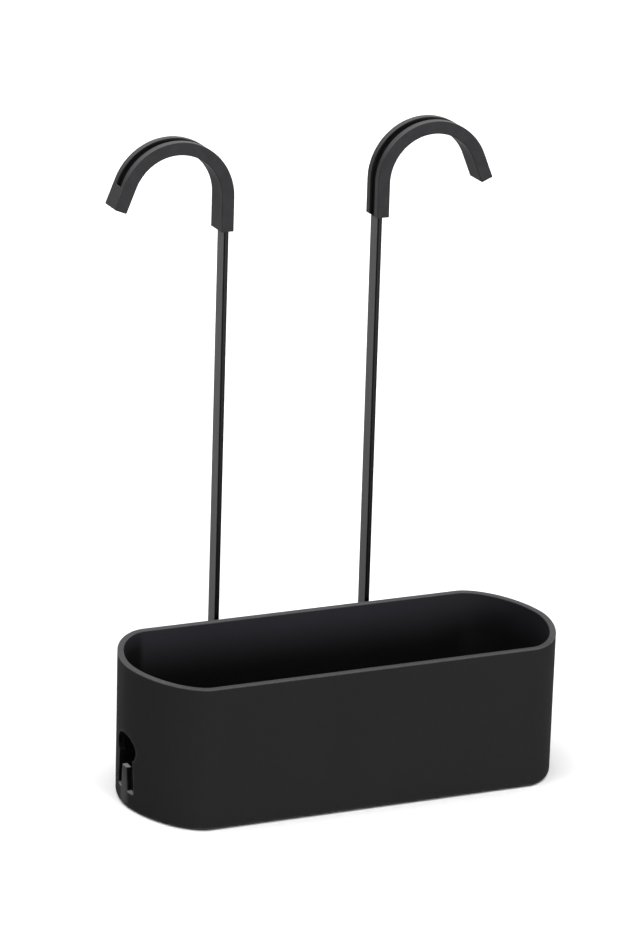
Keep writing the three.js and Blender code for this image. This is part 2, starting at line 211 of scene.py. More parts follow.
# painted shade for faces deep in cuts, slots and the sleeve
INSIDE_SHADE_DARK = (0.002,) * 3
INSIDE_SHADE_LIGHT = (0.0045,) * 3
# painted light on the side walls of the sleeve's slot, high up
INSIDE_SLOT_LIGHT = (0.016,) * 3
GROUND_DARK = (0.85,) * 3
GROUND_LIGHT = (0.88,) * 3

# Where the painted light and shade on a piece change, as (nothing, all) of the tone along one of its axes
RIM_HIGHLIGHT_Z = (95.3 * MM, 96.2 * MM)
RIM_REFLECTION_Y = (-54 * MM, -38 * MM)
INNER_LIGHT_Z = (58 * MM, 88 * MM)
LOW_SHADE_Z = (60 * MM, 20 * MM)
LEFT_END_SHADE_Z = (97 * MM, 84 * MM)
RIGHT_END_SHADE_Z = (90 * MM, 70 * MM)
NARROW_SHADE_Z = (100 * MM, 340 * MM)
SLOT_LIGHT_Z = (200 * MM, 300 * MM)

# Places round the cable opening with painted light, and with a painted highlight on its ledges, as a centre
# and a reach along each axis
OPENING_LIGHT_PLACE = (-0.150, 0.001, 0.010), (0.016, 0.0085, 0.026)
LEDGE_HIGHLIGHT_PLACE = (-0.147, 0, 0.020), (0.010, 0.020, 0.022)

# Rounded edges for wear, and for the painted edge highlight and shade on the vinyl: faces narrower than
# this, between edges that bend by these degrees
WEAR_WIDTH = 0.7 * MM
WEAR_BEND = (5, 15)

# Camera, from the front left and a little above, through a long lens
AZIMUTH = math.radians(24.58)
ELEVATION = math.radians(18.07)
ROLL = math.radians(1.79)
AIM = Vector((0.0049, 0.0482, 0.2006))
DISTANCE = 3.534
FOCAL_LENGTH = 209.1
SENSOR_WIDTH = 36

# Light: each sun's direction, strength and spread in degrees; the backdrop's place, aim, size and power
WORLD_LIGHT = 0.08
SUNS = {
    "top": ((0.06, 0.08, -1), 3.8, 64),
    "front": ((-0.18, 0.95, -0.16), 3.1, 16),
    "left": ((0.85, 0.1, -0.5), 0.75, 30),
}
BACKDROP = ((-0.6, 2.6, 0.9), (0, 0, 0.2), (4.4, 1.7), 30)
GROUND_SIZE = 60
GROUND_STEPS = 24
GROUND_DROP = 0.4 * MM  # how far the ground lies below the bin

SIDES = {"left": -1, "right": 1}


# ---- mesh tools

def link(obj):
    bpy.context.scene.collection.objects.link(obj)
    return obj


def new_object(name, verts, faces):
    """A closed mesh object from points and faces, with doubled points merged and faces turned outward."""
    mesh = bpy.data.meshes.new(name)
    mesh.from_pydata([tuple(v) for v in verts], [], faces)
    bm = bmesh.new()
    bm.from_mesh(mesh)
    bmesh.ops.remove_doubles(bm, verts=bm.verts, dist=MERGE)
    bmesh.ops.dissolve_degenerate(bm, edges=bm.edges, dist=MERGE)
    bmesh.ops.recalc_face_normals(bm, faces=bm.faces)
    bm.to_mesh(mesh)
    bm.free()
    return link(bpy.data.objects.new(name, mesh))


def apply_modifiers(obj):
    graph = bpy.context.evaluated_depsgraph_get()
    mesh = bpy.data.meshes.new_from_object(obj.evaluated_get(graph))
    obj.modifiers.clear()
    obj.data = mesh
    return obj


def boolean(obj, tool, operation):
    modifier = obj.modifiers.new("boolean", "BOOLEAN")
    modifier.operation = operation
    modifier.solver = "EXACT"
    modifier.object = tool
    apply_modifiers(obj)
    bpy.data.objects.remove(tool)


def mark_wear(mesh):
    """Stores a "wear" value on every face corner: 1 on the middle of rounded outer edges, 0 elsewhere. On
    the vinyl it also places the painted edge highlight and shade.
    """
    bm = bmesh.new()
    bm.from_mesh(mesh)
    turn = [max([e.calc_face_angle_signed(0) for e in v.link_edges] or [0]) for v in bm.verts]
    values = []
    for face in bm.faces:
        narrow = face.calc_area() / max(e.calc_length() for e in face.edges) < WEAR_WIDTH
        for loop in face.loops:
            share = (math.degrees(turn[loop.vert.index]) - WEAR_BEND[0]) / (WEAR_BEND[1] - WEAR_BEND[0])
            values.append(min(1.0, max(0.0, share)) if narrow else 0.0)
    bm.free()
    mesh.attributes.new("wear", "FLOAT", "CORNER").data.foreach_set("value", values)


def shade(obj, sharp_angle=60):
    """Smooth shading that keeps flat faces flat."""
    mark_wear(obj.data)
    for polygon in obj.data.polygons:
        polygon.use_smooth = True
    obj.data.set_sharp_from_angle(angle=math.radians(sharp_angle))
    modifier = obj.modifiers.new("weighted_normals", "WEIGHTED_NORMAL")
    modifier.weight = 80
    modifier.keep_sharp = True
    return apply_modifiers(obj)


def added(verts, points):
    """Adds points to a mesh's list, and returns their numbers."""
    start = len(verts)
    verts.extend(points)
    return list(range(start, len(verts)))


def strips(faces, rows, closed=True):
    """Adds quads between each row of point numbers and the next."""
    for first, second in zip(rows, rows[1:]):
        count = len(first)
        for i in range(count if closed else count - 1):
            j = (i + 1) % count
            faces.append((first[i], first[j], second[j], second[i]))


def loft(name, rings):
    """A closed solid through rings of points that all have the same count."""
    verts = []
    rows = [added(verts, ring) for ring in rings]
    faces = [tuple(reversed(rows[0])), tuple(rows[-1])]
    strips(faces, rows)
    return new_object(name, verts, faces)


def quarter(steps):
    """Sine and cosine of the angles from 0 to 90 degrees, both ends included."""
    return [(math.sin(a), math.cos(a)) for a in (math.radians(90 * k / steps) for k in range(steps + 1))]


def arc(centre, radius, start, end, steps):
    """Points on a circle in a plane, angles in degrees, both ends included."""
    angles = [math.radians(start + (end - start) * k / steps) for k in range(steps + 1)]
    return [Vector((centre[0] + radius * math.cos(a), centre[1] + radius * math.sin(a))) for a in angles]


def fillet_path(corners, steps=5):
    """A polyline through corners (x, y, radius), each corner rounded by its radius."""
    path = []
    for i, (x, y, radius) in enumerate(corners):
        here = Vector((x, y))
        if i in (0, len(corners) - 1) or radius == 0:
            path.append(here)
            continue
        before = (Vector(corners[i - 1][:2]) - here).normalized()
        after = (Vector(corners[i + 1][:2]) - here).normalized()
        half = before.angle(after) / 2
        reach = radius / math.tan(half)
        centre = here + (before + after).normalized() * (radius / math.sin(half))
        start = here + before * reach - centre
        turn = start.angle_signed(here + after * reach - centre)
        for k in range(steps + 1):
            path.append(centre + Matrix.Rotation(-turn * k / steps, 2) @ start)
    return path


def offset_loop(loop, distance):
    """A closed plane loop moved sideways, to its left."""
    moved = []
    for i, point in enumerate(loop):
        into = (point - loop[i - 1]).normalized()
        out = (loop[(i + 1) % len(loop)] - point).normalized()
        along = (into + out).normalized()
        side = Vector((-along.y, along.x))
        moved.append(point + side * (distance / max(0.5, side.dot(Vector((-into.y, into.x))))))
    return moved


def inset_loop(loop, distance):
    """A closed plane loop moved inward, whichever way it runs."""
    area = sum(loop[i - 1].cross(point) for i, point in enumerate(loop)) / 2
    return offset_loop(loop, distance if area > 0 else -distance)


def densify(loop, longest):
    """The same closed loop with its long segments split."""
    dense = []
    for i, point in enumerate(loop):
        after = loop[(i + 1) % len(loop)]
        pieces = max(1, math.ceil((after - point).length / longest))
        dense += [point.lerp(after, k / pieces) for k in range(pieces)]
    return dense


def rounded_rectangle(half_x, half_y, radius, steps=6):
    loop = []
    for k, (sx, sy) in enumerate(((1, 1), (-1, 1), (-1, -1), (1, -1))):
        centre = (sx * (half_x - radius), sy * (half_y - radius))
        loop += arc(centre, radius, 90 * k, 90 * k + 90, steps)
    return loop


def lathe(name, profile, place, segments):
    """A round solid from (radius, height) rings. A third value is the ring's shape, as a share by angle."""
    angles = [2 * math.pi * k / segments for k in range(segments)]
    rings = []
    for radius, height, *shape in profile:
        reaches = [radius * (shape[0](angle) if shape else 1) for angle in angles]
        rings.append([place @ Vector((reach * math.cos(angle), reach * math.sin(angle), height))
                      for reach, angle in zip(reaches, angles)])
    return loft(name, rings)


def drill(obj, profile, place, segments=HOLE_ROUND):
    boolean(obj, lathe("hole", profile, place, segments), "DIFFERENCE")


def round_edge(radius, height, edge, turn):
    """Profile points over a rounded rim. turn is 1 from the side to the top, -1 from below to the side."""
    if turn > 0:
        return [(radius - edge + edge * cos, height - edge + edge * sin) for sin, cos in quarter(4)]
    return [(radius - edge + edge * sin, height + edge - edge * cos) for sin, cos in quarter(4)]


def hexagon(angle):
    """Radius of a hexagon at an angle, as a share of its corner radius."""
    sector = (angle % (math.pi / 3)) - math.pi / 6
    return math.cos(math.pi / 6) / math.cos(sector)


# ---- materials

class Shader:
    """A principled material whose detail comes from node textures in the piece's own coordinates."""

    def __init__(self, name, roughness, metallic=0.0, specular=0.5):
        self.material = bpy.data.materials.new(name)
        self.material.use_nodes = True
        self.tree = self.material.node_tree
        self.bsdf = self.tree.nodes["Principled BSDF"]
        self.feed(self.bsdf, {"Roughness": roughness, "Metallic": metallic, "Specular IOR Level": specular})
        self.coords = self.node("TexCoord").outputs["Object"]
        self.normal = None

    def node(self, kind, inputs=None, **settings):
        """Adds a shader node, and returns it."""
        made = self.tree.nodes.new("ShaderNode" + kind)
        for key, value in settings.items():
            setattr(made, key, value)
        self.feed(made, inputs or {})
        return made

    def feed(self, node, inputs):
        """Gives each input a plain value, or joins it to another node's output."""
        for key, value in inputs.items():
            if isinstance(value, bpy.types.NodeSocket):
                self.tree.links.new(value, node.inputs[key])
            else:
                node.inputs[key].default_value = value

    def noise(self, scale, detail, stretch=None, rough=0.5):
        source = self.coords
        if stretch:
            source = self.node("Mapping", {"Vector": source, "Scale": stretch}).outputs["Vector"]
        inputs = {"Vector": source, "Scale": scale, "Detail": detail, "Roughness": rough}
        return self.node("TexNoise", inputs).outputs["Fac"]

    def ranged(self, value, low, high, start=0.0, end=1.0):
        """low where value is at start, high where it is at end, in proportion between them."""
        inputs = {"Value": value, "From Min": start, "From Max": end, "To Min": low, "To Max": high}
        return self.node("MapRange", inputs).outputs["Result"]

    def math(self, operation, first, second):
        return self.node("Math", {0: first, 1: second}, operation=operation).outputs[0]

    def times(self, first, second):
        return self.math("MULTIPLY", first, second)

    def mix(self, factor, first, second):
        """first where factor is 0, second where it is 1. Both are colours or outputs."""
        first, second = ((*value, 1.0) if isinstance(value, tuple) else value for value in (first, second))
        inputs = {"Factor": factor, "A": first, "B": second}
        return self.node("Mix", inputs, data_type="RGBA").outputs["Result"]

    def edges(self):
        """A mask along the rounded edges, broken up so that it comes and goes: wear, and on the vinyl also
        the painted edge highlight and shade.
        """
        edged = self.node("Attribute", attribute_name="wear")
        broken = self.ranged(self.noise(160, 4, rough=0.65), 0.15, 1.0, 0.38, 0.62)
        return self.times(edged.outputs["Fac"], broken)

    def around(self, centre, reach):
        """1 at a place on the piece, fading to 0 at about a distance of reach along each axis."""
        inputs = {"Vector": self.coords, "Location": centre, "Scale": reach}
        scaled = self.node("Mapping", inputs, vector_type="TEXTURE").outputs["Vector"]
        length = self.node("VectorMath", {0: scaled}, operation="LENGTH").outputs["Value"]
        return self.ranged(length, 1.0, 0.0, 0.35, 1.05)

    def split(self, vector, axis):
        return self.node("SeparateXYZ", {0: vector}).outputs[axis]

    def facing(self, axis):
        """How squarely the piece's surface faces along one of its own axes, from -1 to 1."""
        return self.split(self.node("TexCoord").outputs["Normal"], axis)

    def upward(self):
        """1 on surfaces that face up, 0 on walls and undersides."""
        return self.ranged(self.facing("Z"), 0, 1, 0.35, 0.8)

    def inward(self):
        """1 on walls that face the piece's own centre, 0 on walls that face away from it."""
        inputs = {0: self.coords, 1: self.node("TexCoord").outputs["Normal"]}
        product = self.node("VectorMath", inputs, operation="DOT_PRODUCT").outputs["Value"]
        return self.ranged(product, 1, 0, -0.02, -0.01)

    def axis_range(self, axis, start, end):
        """0 at start and 1 at end, along one of the piece's own axes."""
        return self.ranged(self.split(self.coords, axis), 0, 1, start, end)

    def bump(self, height, distance, strength):
        inputs = {"Strength": strength, "Distance": distance, "Height": height}
        if self.normal:
            inputs["Normal"] = self.normal
        self.normal = self.node("Bump", inputs).outputs["Normal"]

    def finish(self, color, roughness=None):
        self.feed(self.bsdf, {"Base Color": color})
        if roughness:
            self.feed(self.bsdf, {"Roughness": roughness})
        if self.normal:
            self.feed(self.bsdf, {"Normal": self.normal})
        return self.material


def moulded_plastic():
    """Matte black moulded plastic: fine eroded grain, faint flow marks and worn edges, with painted light
    and shade inside, a painted highlight and painted reflection on the rim, and painted light round the
    cable opening and on its ledges.
    """
    s = Shader("bin_plastic", 0.85, specular=0.05)
    flow = s.noise(14, 3, stretch=(1, 1, 0.35))
    grain = s.noise(2600, 2)
    pits = s.noise(900, 3, rough=0.65)
    edge_mask = s.edges()
    base = s.mix(s.ranged(flow, 0, 1, 0.3, 0.7), BIN_DARK, BIN_LIGHT)
    speckled = s.mix(s.ranged(grain, 0, 0.55, 0.45, 0.75), base, BIN_SPECK)

    # inside: painted light high on the walls, painted shade low down and on the rounded ends
    inner_light = s.times(s.inward(), s.axis_range("Z", *INNER_LIGHT_Z))
    second_tone = s.mix(s.times(inner_light, s.ranged(flow, 0.7, 1.0, 0.35, 0.65)), speckled, BIN_INNER_LIGHT)
    low_shade = s.times(s.math("MAXIMUM", s.inward(), s.upward()), s.axis_range("Z", *LOW_SHADE_Z))
    left_end = s.times(s.ranged(s.facing("X"), 0, 0.9, 0.1, 0.4), s.axis_range("Z", *LEFT_END_SHADE_Z))
    right_end = s.times(s.ranged(s.facing("X"), 0, 0.85, -0.55, -0.9), s.axis_range("Z", *RIGHT_END_SHADE_Z))
    ends = s.times(s.math("MAXIMUM", left_end, right_end), s.inward())
    shaded_inside = s.mix(s.math("MAXIMUM", low_shade, ends), second_tone, BIN_INNER_SHADE)

    # wear on the rounded edges; painted highlight on the rim and painted reflection on its back and ends;
    # painted light round the cable opening and a painted highlight on its ledges
    edged = s.mix(s.times(edge_mask, 0.5), shaded_inside, BIN_WORN)
    rim = s.times(s.axis_range("Z", *RIM_HIGHLIGHT_Z), s.ranged(pits, 0.55, 1.0, 0.3, 0.7))
    rim_lit = s.mix(rim, edged, s.mix(s.axis_range("Y", *RIM_REFLECTION_Y), BIN_RIM_HIGHLIGHT, BIN_RIM_REFLECTION))
    opening_light = s.times(s.around(*OPENING_LIGHT_PLACE), s.ranged(pits, 0.5, 0.9, 0.3, 0.7))
    ledge_highlight = s.times(s.times(s.around(*LEDGE_HIGHLIGHT_PLACE), s.upward()), s.ranged(pits, 0.6, 1.0, 0.3, 0.7))
    color = s.mix(ledge_highlight, s.mix(opening_light, rim_lit, BIN_OPENING_LIGHT), BIN_LEDGE_HIGHLIGHT)
    rough = s.math("SUBTRACT", s.ranged(flow, 0.80, 0.90), s.times(edge_mask, 0.16))
    s.bump(grain, 0.05 * MM, 0.35)
    s.bump(pits, 0.05 * MM, 0.25)
    return s.finish(color, rough)


def soft_vinyl():
    """Charcoal vinyl with a dull chalky skin, mottled by handling, with painted light on top, painted shade
    underneath, and edges with a painted highlight where they face up and painted shade where they face
    sideways.
    """
    s = Shader("sleeve_vinyl", 0.8, specular=0.08)
    s.feed(s.bsdf, {"Sheen Weight": 0.11, "Sheen Roughness": 0.4})
    mottle = s.noise(120, 4, rough=0.6)
    speckle = s.noise(1800, 2)
    edge_mask = s.edges()
    base = s.mix(s.ranged(mottle, 0, 1, 0.35, 0.68), VINYL_DARK, VINYL_LIGHT)
    dusty = s.mix(s.ranged(speckle, 0, 0.5, 0.5, 0.8), base, VINYL_SPECK)
    # edge colour: painted highlight where the edge faces up, painted shade where it faces sideways
    edge = s.mix(s.upward(), VINYL_EDGE_SHADE, VINYL_EDGE_HIGHLIGHT)
    edged = s.mix(s.times(edge_mask, 0.6), dusty, edge)
    # painted shade on faces that look down
    shaded_under = s.ranged(s.facing("Z"), 0, 0.9, -0.1, -0.4)
    # painted light on faces that look up
    lit_top = s.ranged(s.facing("Z"), 0, 0.9, 0.36, 0.95)
    with_under_shade = s.mix(shaded_under, edged, VINYL_UNDER_SHADE)
    color = s.mix(s.times(lit_top, s.ranged(mottle, 0.85, 1.0)), with_under_shade, VINYL_TOP_LIGHT)
    rough = s.math("SUBTRACT", s.ranged(mottle, 0.74, 0.88), s.times(edge_mask, 0.14))
    s.bump(speckle, 0.06 * MM, 0.4)
    s.bump(mottle, 0.25 * MM, 0.3)
    return s.finish(color, rough)


def painted_steel():
    """Satin paint on flat steel: mill lines along the bar, and painted shade on the narrow faces and
    corners, lighter higher up.
    """
    s = Shader("painted_bar", 0.42, metallic=0.3, specular=0.1)
    lines = s.noise(900, 2, stretch=(1, 1, 0.012))
    cloud = s.noise(45, 4, rough=0.55)
    edge_mask = s.edges()
    base = s.mix(s.ranged(cloud, 0, 1, 0.3, 0.7), BAR_DARK, BAR_LIGHT)
    second_tone = s.mix(s.ranged(lines, 0, 0.6, 0.4, 0.8), base, BAR_LINE)
    edged = s.mix(s.times(edge_mask, 0.15), second_tone, BAR_WORN)
    # painted shade on faces that turn sideways: the rounded corners and the narrow faces
    sideways = s.math("ABSOLUTE", s.facing("Y"), 0.0)
    corner_shaded = s.mix(s.ranged(sideways, 0, 1, 0.2, 0.6), edged, BAR_CORNER_SHADE)
    narrow = s.mix(s.axis_range("Z", *NARROW_SHADE_Z), BAR_CORNER_SHADE, BAR_NARROW_SHADE)
    color = s.mix(s.ranged(sideways, 0, 1, 0.9, 0.99), corner_shaded, narrow)
    rough = s.ranged(cloud, 0.42, 0.54)
    s.bump(lines, 0.03 * MM, 0.5)
    return s.finish(color, rough)


def cast_metal():
    """Black powder coat over cast metal, with the coat's pebbled skin."""
    s = Shader("cast_bracket", 0.55, metallic=0.1, specular=0.4)
    skin = s.noise(700, 3, rough=0.6)
    cloud = s.noise(60, 3)
    edge_mask = s.edges()
    base = s.mix(s.ranged(cloud, 0, 1, 0.3, 0.7), CAST_DARK, CAST_LIGHT)
    color = s.mix(s.times(edge_mask, 0.55), base, CAST_WORN)
    rough = s.ranged(skin, 0.45, 0.65)
    s.bump(skin, 0.12 * MM, 0.6)
    return s.finish(color, rough)


def plated_steel():
    """Zinc plated steel: bright, slightly blue, with fine turning marks and dull patches."""
    s = Shader("plated_steel", 0.3, metallic=1.0)
    turning = s.noise(1500, 2, stretch=(1, 1, 0.2))
    patch = s.noise(260, 4, rough=0.6)
    base = s.mix(s.ranged(patch, 0, 1, 0.35, 0.7), PLATED_DULL, PLATED_BRIGHT)
    s.bump(turning, 0.02 * MM, 0.4)
    return s.finish(base, s.ranged(patch, 0.24, 0.42))


def painted_shade_surface():
    """Painted shade for cut walls, the sleeve's slot and the bar in it: nearly black with a dusty
    variation, and painted light on the slot's walls high up.
    """
    s = Shader("painted_shade_inside", 0.9, specular=0.04)
    dust = s.noise(400, 3, rough=0.6)
    base = s.mix(s.ranged(dust, 0, 1, 0.35, 0.7), INSIDE_SHADE_DARK, INSIDE_SHADE_LIGHT)
    sideways = s.ranged(s.math("ABSOLUTE", s.facing("Y"), 0.0), 0, 1, 0.7, 0.95)
    # painted light on the slot's side walls high up
    lit_walls = s.times(sideways, s.axis_range("Z", *SLOT_LIGHT_Z))
    s.bump(dust, 0.1 * MM, 0.5)
    return s.finish(s.mix(lit_walls, base, INSIDE_SLOT_LIGHT))


def studio_floor():
    """Plain pale floor with a barely visible tone change."""
    s = Shader("studio_floor", 0.85, specular=0.1)
    return s.finish(s.mix(s.noise(1.5, 2), GROUND_DARK, GROUND_LIGHT))


MATERIALS = {
    "bin_plastic": moulded_plastic(),
    "sleeve_vinyl": soft_vinyl(),
    "painted_bar": painted_steel(),
    "cast_bracket": cast_metal(),
    "plated_steel": plated_steel(),
    # painted shade for faces deep inside
    "inside": painted_shade_surface(),
}
BODY_OF = {node: body for body, nodes in frame["record"]["behaviour"]["bodies"].items() for node in nodes}
SLOT_OF = {part["node"]: part["material_slot"] for part in frame["record"]["subparts"]}


def stand_in(node, obj, shadowed=()):
    """obj takes a CAD node's place, body, slot and material. shadowed picks the faces deep inside, which
    take the painted shade material.
    """
    obj.data.materials.clear()
    obj.data.materials.append(MATERIALS[SLOT_OF[node]])
    if shadowed:
        obj.data.materials.append(MATERIALS["inside"])
        obj.data.polygons.foreach_set("material_index", [int(deep) for deep in shadowed])
    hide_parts(node)
    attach(obj, BODY_OF[node])


# ---- bin

bin_low, bin_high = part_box("bin_shell")
HALF_LENGTH = (bin_high.x - bin_low.x) / 2
HALF_DEPTH = (bin_high.y - bin_low.y) / 2
HEIGHT = bin_high.z - bin_low.z


def outline_point(angle, side):
    """A point on the bin's outline and its outward normal. angle runs from -90 to 90 degrees on an end."""
    cos, sin = max(0.0, math.cos(angle)), math.sin(angle)
    along = cos ** (2 / END_POWER)
    across = math.copysign(abs(sin) ** (2 / END_POWER), sin)
    slope_x = along ** (END_POWER - 1) / END_LENGTH
    slope_y = math.copysign(abs(across) ** (END_POWER - 1), across) / HALF_DEPTH
    normal = Vector((slope_x, slope_y)).normalized()
    point = Vector((HALF_LENGTH - END_LENGTH + END_LENGTH * along, HALF_DEPTH * across))
    return side * point, side * normal


def bin_outline():
    angles = [math.pi / 2 * k / OUTLINE_STEPS for k in range(-OUTLINE_STEPS, OUTLINE_STEPS + 1)]
    return [outline_point(angle, side) for side in (1, -1) for angle in angles]


def left_end_x(y, inset):
    """x of the left end's surface at y, moved inward by inset, found by halving a range of angles."""
    low, high = -math.pi / 2, math.pi / 2
    for _ in range(HALVINGS):
        middle = (low + high) / 2
        point, normal = outline_point(middle, -1)
        if (point - normal * inset).y > y:
            low = middle
        else:
            high = middle
    return (point - normal * inset).x


def cable_contour():
    """The cable opening's edge, an oval over two slots, as a (y, z) loop with the opening on its left."""
    turn = math.acos(CABLE_SLOT_OUTER / OVAL_HALF_WIDTH)
    outer, inner = CABLE_SLOT_OUTER + CABLE_SLOT_FLARE, TONGUE_HALF + TONGUE_FLARE
    start, steps = 0.08 - turn, 26  # the oval stops a little short of the slot's corner
    oval = []
    for k in range(steps + 1):
        a = start + (math.pi / 2 - start) * k / steps
        oval.append((OVAL_HALF_WIDTH * math.cos(a), OVAL_Z + OVAL_HALF_HEIGHT * math.sin(a), 0))
    half = oval[::-1] + [
        (CABLE_SLOT_OUTER, OVAL_Z - OVAL_HALF_HEIGHT * math.sin(turn), NECK_CORNER),
        (outer, CABLE_SLOT_BOTTOM_Z, CABLE_SLOT_CORNER),
        (inner, CABLE_SLOT_BOTTOM_Z, CABLE_SLOT_CORNER),
        (TONGUE_HALF, TONGUE_TOP_Z, TONGUE_CORNER),
    ]
    corners = [(-y, z, radius) for y, z, radius in half] + half[::-1]
    return densify(fillet_path(corners)[:-1], CONTOUR_STEP)


def inside(point, loop):
    """Whether a point lies in a closed plane loop."""
    hit = False
    for i, a in enumerate(loop):
        b = loop[i - 1]
        if (a.y > point.y) != (b.y > point.y):
            if point.x < (b.x - a.x) * (point.y - a.y) / (b.y - a.y) + a.x:
                hit = not hit
    return hit


def near(point, loop, distance):
    """Whether a point lies closer than distance to any of a loop's points."""
    return min((point - other).length for other in loop) < distance


def bin_inset(z, outer):
    """How far the wall's outer or inner surface is set in from the outline at a height."""
    return DRAFT * (1 - z / HEIGHT) if outer else WALL


def make_bin():
    """One shell with a floor, drafted walls, a flat rim and the cable opening, all with rounded edges."""
    outline = bin_outline()
    columns = [i for i, (p, n) in enumerate(outline) if p.x < 0 and abs(p.y) < PATCH_HALF]
    last_row, last_column = len(PATCH_ROWS_Z) - 1, len(columns) - 1
    verts, faces = [], []

    def row(inset, z):
        return added(verts, [Vector((*(p - n * inset), z)) for p, n in outline])

    def on_end(flat, outer, sunk=0):
        """The left end's point at a flat (y, z)."""
        return Vector((left_end_x(flat.x, bin_inset(flat.y, outer)) + sunk, flat.x, flat.y))

    def wall(levels, outer):
        """Rows of points up a wall, joined everywhere but where the patch goes."""
        rows = [row(bin_inset(z, outer), z) for z in levels]
        for k, (low, high) in enumerate(zip(rows, rows[1:])):
            in_patch = PATCH_ROWS_Z[0] <= levels[k] + SLACK and levels[k + 1] <= PATCH_ROWS_Z[-1] + SLACK
            for i in range(len(low)):
                j = (i + 1) % len(low)
                if not (in_patch and i in columns and j in columns):
                    faces.append((low[i], low[j], high[j], high[i]))
        return rows

    def patch(loop, outer):
        """Fills the patch round the opening, and returns the loop's point numbers."""
        points = list(loop)
        ring = [(k, (k + 1) % len(loop)) for k in range(len(loop))]
        number = {}
        for r, z in enumerate(PATCH_ROWS_Z):
            for c, i in enumerate(columns):
                p, n = outline[i]
                flat = Vector(((p - n * bin_inset(z, outer)).y, z))
                if r in (0, last_row) or c in (0, last_column):
                    number[r, c] = len(points)
                    points.append(flat)
                elif not (inside(flat, loop) or near(flat, loop, PATCH_CLEARANCE)):
                    points.append(flat)
        for (r, c), k in number.items():
            if r in (0, last_row) and (r, c + 1) in number:
                ring.append((k, number[r, c + 1]))
            if c in (0, last_column) and (r + 1, c) in number:
                ring.append((k, number[r + 1, c]))
        flats, _, triangles, _, _, _ = delaunay_2d_cdt(points, ring, [], 0, 1e-8)
        numbers = added(verts, [on_end(flat, outer) for flat in flats])
        for triangle in triangles:
            a, b, c = (Vector(flats[i]) for i in triangle)
            if abs((b - a).cross(c - a)) > 1e-11 and not inside((a + b + c) / 3, loop):
                faces.append(tuple(numbers[i] for i in triangle))
        return numbers[:len(loop)]

    # walls, from the outer bottom edge over the rim to the inner floor
    foot = [row(DRAFT + BOTTOM_EDGE * (1 - sin), BOTTOM_EDGE * (1 - cos)) for sin, cos in quarter(6)[:-1]]
    upper_rows = [*UPPER_ROWS_Z, HEIGHT - RIM_EDGE - RIM_ROW, HEIGHT - RIM_EDGE]
    outside = wall([BOTTOM_EDGE, FOOT_ROW_Z, *PATCH_ROWS_Z, *upper_rows], True)
    crown = [row(RIM_EDGE * (1 - cos), HEIGHT - RIM_EDGE * (1 - sin)) for sin, cos in quarter(4)[1:]]
    crown += [row(WALL - RIM_EDGE * (1 - sin), HEIGHT - RIM_EDGE * (1 - cos))
              for sin, cos in quarter(4)[:-1]]
    within = wall([FLOOR + INNER_EDGE, *PATCH_ROWS_Z, *upper_rows], False)
    base = [row(WALL + INNER_EDGE * (1 - cos), FLOOR + INNER_EDGE * (1 - sin))
            for sin, cos in quarter(6)[1:]]
    for rows in (foot + outside[:1], outside[-1:] + crown + within[-1:], within[:1] + base):
        strips(faces, rows)
    faces += [tuple(reversed(foot[0])), tuple(base[-1])]

    # opening: surface loops set back from the cut, joined by rounded edges through the wall
    contour = cable_contour()
    outer_loop, inner_loop = (patch(offset_loop(contour, -CUT_EDGE), outer) for outer in (True, False))
    tunnel = [outer_loop]
    for outer, turn, bend in ((True, 1, quarter(4)[1:]), (False, -1, quarter(4)[:0:-1])):
        for sin, cos in bend:
            loop = offset_loop(contour, -CUT_EDGE * (1 - sin))
            sunk = turn * CUT_EDGE * (1 - cos)
            tunnel.append(added(verts, [on_end(flat, outer, sunk) for flat in loop]))
    strips(faces, tunnel + [inner_loop])
    shell = new_object("bin", verts, faces)
    for hand in SIDES:
        for number in range(1, 5):
            low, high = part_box(f"bracket_screw_{hand}_{number}")
            place = lying((low.x + high.x) / 2, HALF_DEPTH - WALL / 2, (low.z + high.z) / 2)
            drill(shell, [(SCREW_RADIUS + FIT, -WALL), (SCREW_RADIUS + FIT, WALL)], place)
    shade(shell)

    def cut_wall(polygon):
        """Whether a face lies in the opening's cut, apart from the ledges at the foot of the slots. These
        faces take the painted shade material.
        """
        x, y, z = polygon.center
        opening = abs(y) < OVAL_HALF_WIDTH and CABLE_SLOT_BOTTOM_Z < z < OVAL_Z + OVAL_HALF_HEIGHT
        ledge = polygon.normal.z > 0.4 and z < TONGUE_TOP_Z + 1 * MM
        return opening and x < WALL - HALF_LENGTH + 3 * MM and abs(polygon.normal.x) < 0.5 and not ledge

    return shell, [cut_wall(polygon) for polygon in shell.data.polygons]


# ---- hangers

